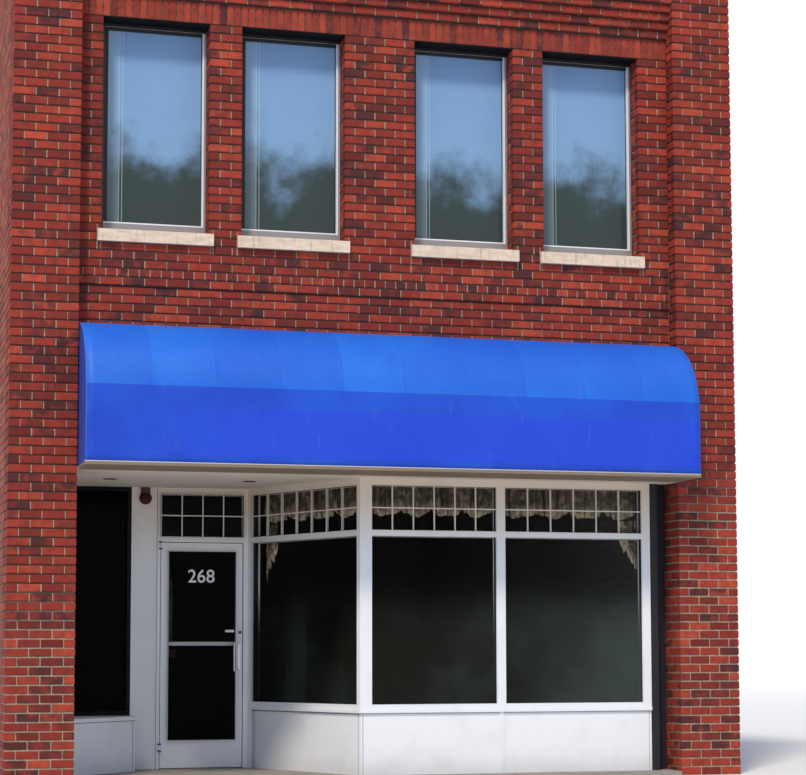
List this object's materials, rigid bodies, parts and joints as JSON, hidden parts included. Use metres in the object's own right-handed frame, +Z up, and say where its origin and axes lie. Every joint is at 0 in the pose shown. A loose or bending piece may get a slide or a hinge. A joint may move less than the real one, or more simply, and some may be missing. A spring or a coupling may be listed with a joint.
{
  "type": "row shop building",
  "caption": "Two-storey brick shop of a row with a rounded blue awning, a recessed splayed entry with a swinging glass door, upper windows, parapet and flat roof.",
  "frame": {"origin": "on the ground, at the centre of the walls' footprint between the pier faces and the rear wall's face", "axes": "+X to the right as seen from the street, +Y from the street into the building, +Z up"},
  "size_m": [6.975, 10.553, 8.4295],
  "materials": {
    "red_brick": "matte",
    "common_brick": "matte",
    "limestone": "matte",
    "concrete": "matte",
    "timber": "matte",
    "roof_felt": "matte",
    "structural_steel": "matte",
    "navy_steel": "satin",
    "white_frame": "satin",
    "white_board": "satin",
    "cream_board": "matte",
    "tan_board": "matte",
    "black_frame": "satin",
    "clear_glass": "gloss",
    "dark_glass": "gloss",
    "bare_aluminium": "satin",
    "steel_fittings": "satin",
    "red_paint": "gloss",
    "curtain_cloth": "matte",
    "blue_canvas": "satin",
    "grey_paint": "satin"
  },
  "bodies": {
    "building": {"left_pier": "red_brick", "right_pier": "red_brick", "left_party_wall": "common_brick", "right_party_wall": "common_brick", "front_wall": "red_brick", "parapet": "red_brick", "parapet_copings": "limestone", "window_sills": "limestone", "rear_lower_wall": "common_brick", "rear_upper_wall": "common_brick", "floor_slab": "concrete", "upper_floor": "timber", "roof_deck": "roof_felt", "storefront_beams": "structural_steel", "fascia_board": "white_board", "entry_ceiling": "cream_board", "entry_side_wall": "white_board", "steel_post": "navy_steel", "storefront_posts": "white_frame", "storefront_rails": "white_frame", "angled_rails": "white_frame", "storefront_glass": "clear_glass", "front_bulkhead": "white_board", "angled_bulkhead": "white_board", "left_bulkhead": "white_board", "display_frame": "black_frame", "display_glass": "dark_glass", "side_panel": "white_board", "door_frame": "white_frame", "door_pivots": "steel_fittings", "alarm_bell": "red_paint", "downlights": "bare_aluminium", "window_valances": "curtain_cloth", "awning_cover": "blue_canvas", "awning_frame": "bare_aluminium", "awning_soffit": "tan_board", "upper_window_frames": "white_frame", "rear_window_frames": "white_frame", "window_glass": "clear_glass", "rear_door": "grey_paint", "rear_door_frame": "white_frame"},
    "front_door": {"door_leaf": "white_frame", "door_glass": "clear_glass", "door_pull": "bare_aluminium", "push_bar": "bare_aluminium"}
  },
  "joints": [
    {"name": "front_door_swing", "type": "hinge", "parent": "building", "child": "front_door", "pos_m": [-1.8445, -3.158, 1.1], "axis": [0, 0, -1], "range_deg": [0, 95]}
  ]
}
